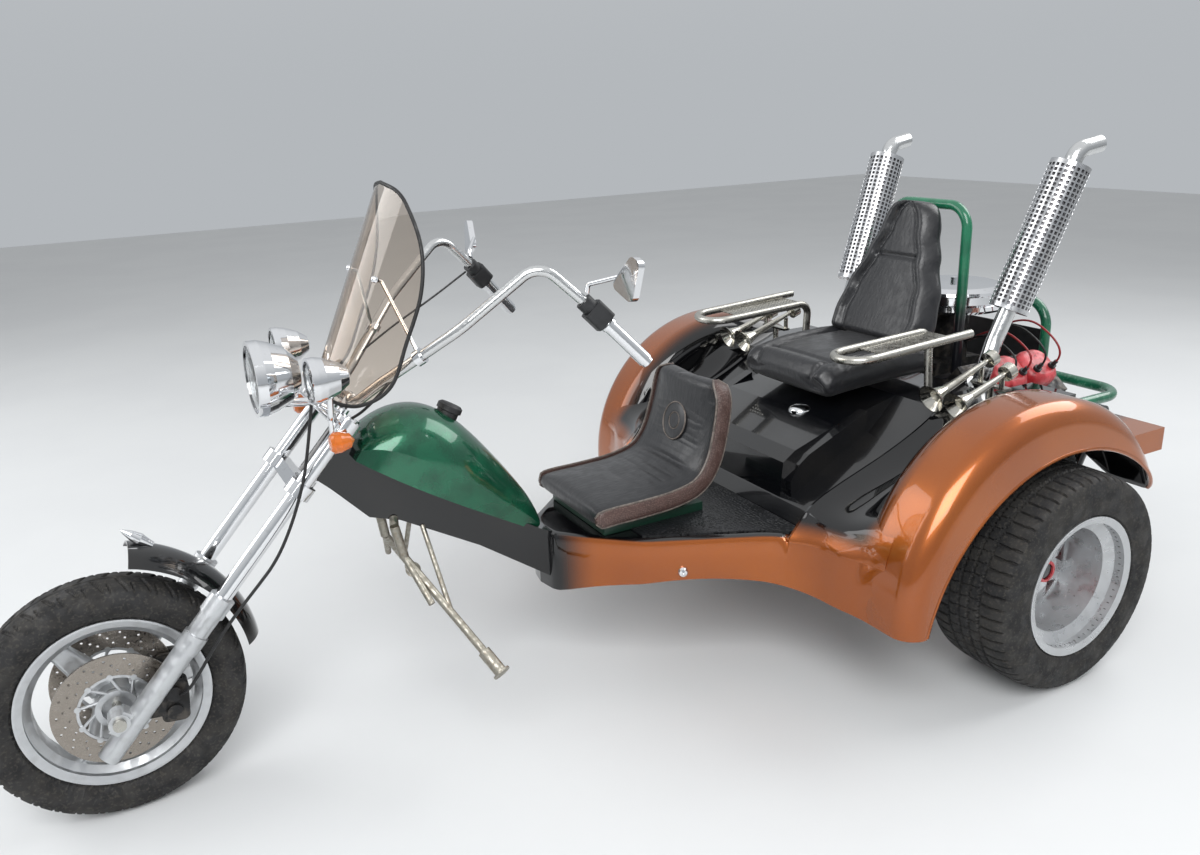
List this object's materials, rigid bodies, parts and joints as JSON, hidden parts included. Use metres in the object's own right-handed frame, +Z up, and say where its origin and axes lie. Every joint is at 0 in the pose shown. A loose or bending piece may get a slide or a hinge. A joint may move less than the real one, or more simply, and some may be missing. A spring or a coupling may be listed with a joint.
{
  "type": "motorized trike",
  "caption": "Three-wheeled motor vehicle with a raked front fork, rider and raised passenger seat, open rear engine, fenders and upright exhaust stacks.",
  "frame": {"origin": "middle of the overall box on the ground", "axes": "+X forward, +Y to the rider's left, +Z up"},
  "size_m": [3.6509, 1.832, 1.5027],
  "materials": {
    "black_paint": "gloss",
    "body_black": "gloss",
    "copper_paint": "metallic gloss",
    "green_paint": "gloss",
    "red_paint": "satin",
    "chrome": "polished",
    "brushed_steel": "brushed",
    "perforated_steel": "bright",
    "aluminium": "cast",
    "cast_metal": "painted and oily",
    "tyre": "tread",
    "hose_rubber": "satin",
    "black_plastic": "satin",
    "seat_vinyl": "satin",
    "smoked_glass": "smoked",
    "lamp_glass": "clear",
    "orange_lens": "clear",
    "red_lens": "clear"
  },
  "bodies": {
    "chassis": {"air_cleaner": "chrome", "armrests": "brushed_steel", "body_shoulders": "body_black", "body_tub": "copper_paint", "engine_block": "cast_metal", "exhaust_pipes": "brushed_steel", "filler_cap": "chrome", "foot_pegs": "brushed_steel", "frame_rails": "black_paint", "frame_spine": "black_paint", "fuel_tank": "green_paint", "guard_hoop": "green_paint", "horns": "chrome", "marker_lamps": "chrome", "passenger_seat_back": "seat_vinyl", "passenger_seat_pan": "seat_vinyl", "rear_axles": "black_paint", "rear_bumper": "green_paint", "rear_fenders": "copper_paint", "rear_panel": "black_plastic", "rider_seat_back": "seat_vinyl", "rider_seat_base": "green_paint", "rider_seat_pan": "seat_vinyl", "rocker_covers": "red_paint", "seat_hoop": "green_paint", "seat_pedestal": "body_black", "stack_sleeves": "perforated_steel", "tail_lamps": "copper_paint", "tail_lenses": "red_lens", "transaxle": "aluminium"},
    "steering": {"fork_clamps": "chrome", "fork_tubes": "chrome", "fork_sliders": "aluminium", "front_axle": "brushed_steel", "front_fender": "black_paint", "fender_ornament": "chrome", "brake_calipers": "cast_metal", "brake_hose": "hose_rubber", "handlebar": "brushed_steel", "bar_grips": "chrome", "switch_boxes": "black_plastic", "bar_mirrors": "chrome", "windscreen": "smoked_glass", "screen_fittings": "chrome", "front_lamps": "chrome", "lamp_lenses": "lamp_glass", "turn_signals": "orange_lens", "lamp_bracket": "chrome"},
    "front_wheel": {"front_tyre": "tyre", "front_rim": "aluminium", "brake_discs": "brushed_steel"},
    "rear_wheel_left": {"rear_tyre_left": "tyre", "rear_rim_left": "brushed_steel", "rear_hub_left": "red_paint"},
    "rear_wheel_right": {"rear_tyre_right": "tyre", "rear_rim_right": "brushed_steel", "rear_hub_right": "red_paint"}
  },
  "joints": [
    {"name": "steering_turn", "type": "hinge", "parent": "chassis", "child": "steering", "pos_m": [0.93629, 0, 0.82387], "axis": [-0.6756, 0, 0.7373], "range_deg": [-30, 30]},
    {"name": "front_wheel_spin", "type": "hinge", "parent": "steering", "child": "front_wheel", "pos_m": [1.5175, 0, 0.308], "axis": [0, 1, 0], "continuous": true},
    {"name": "rear_wheel_left_spin", "type": "hinge", "parent": "chassis", "child": "rear_wheel_left", "pos_m": [-0.8855, 0.779, 0.322], "axis": [0, 1, 0], "continuous": true},
    {"name": "rear_wheel_right_spin", "type": "hinge", "parent": "chassis", "child": "rear_wheel_right", "pos_m": [-0.8855, -0.779, 0.322], "axis": [0, 1, 0], "continuous": true}
  ]
}
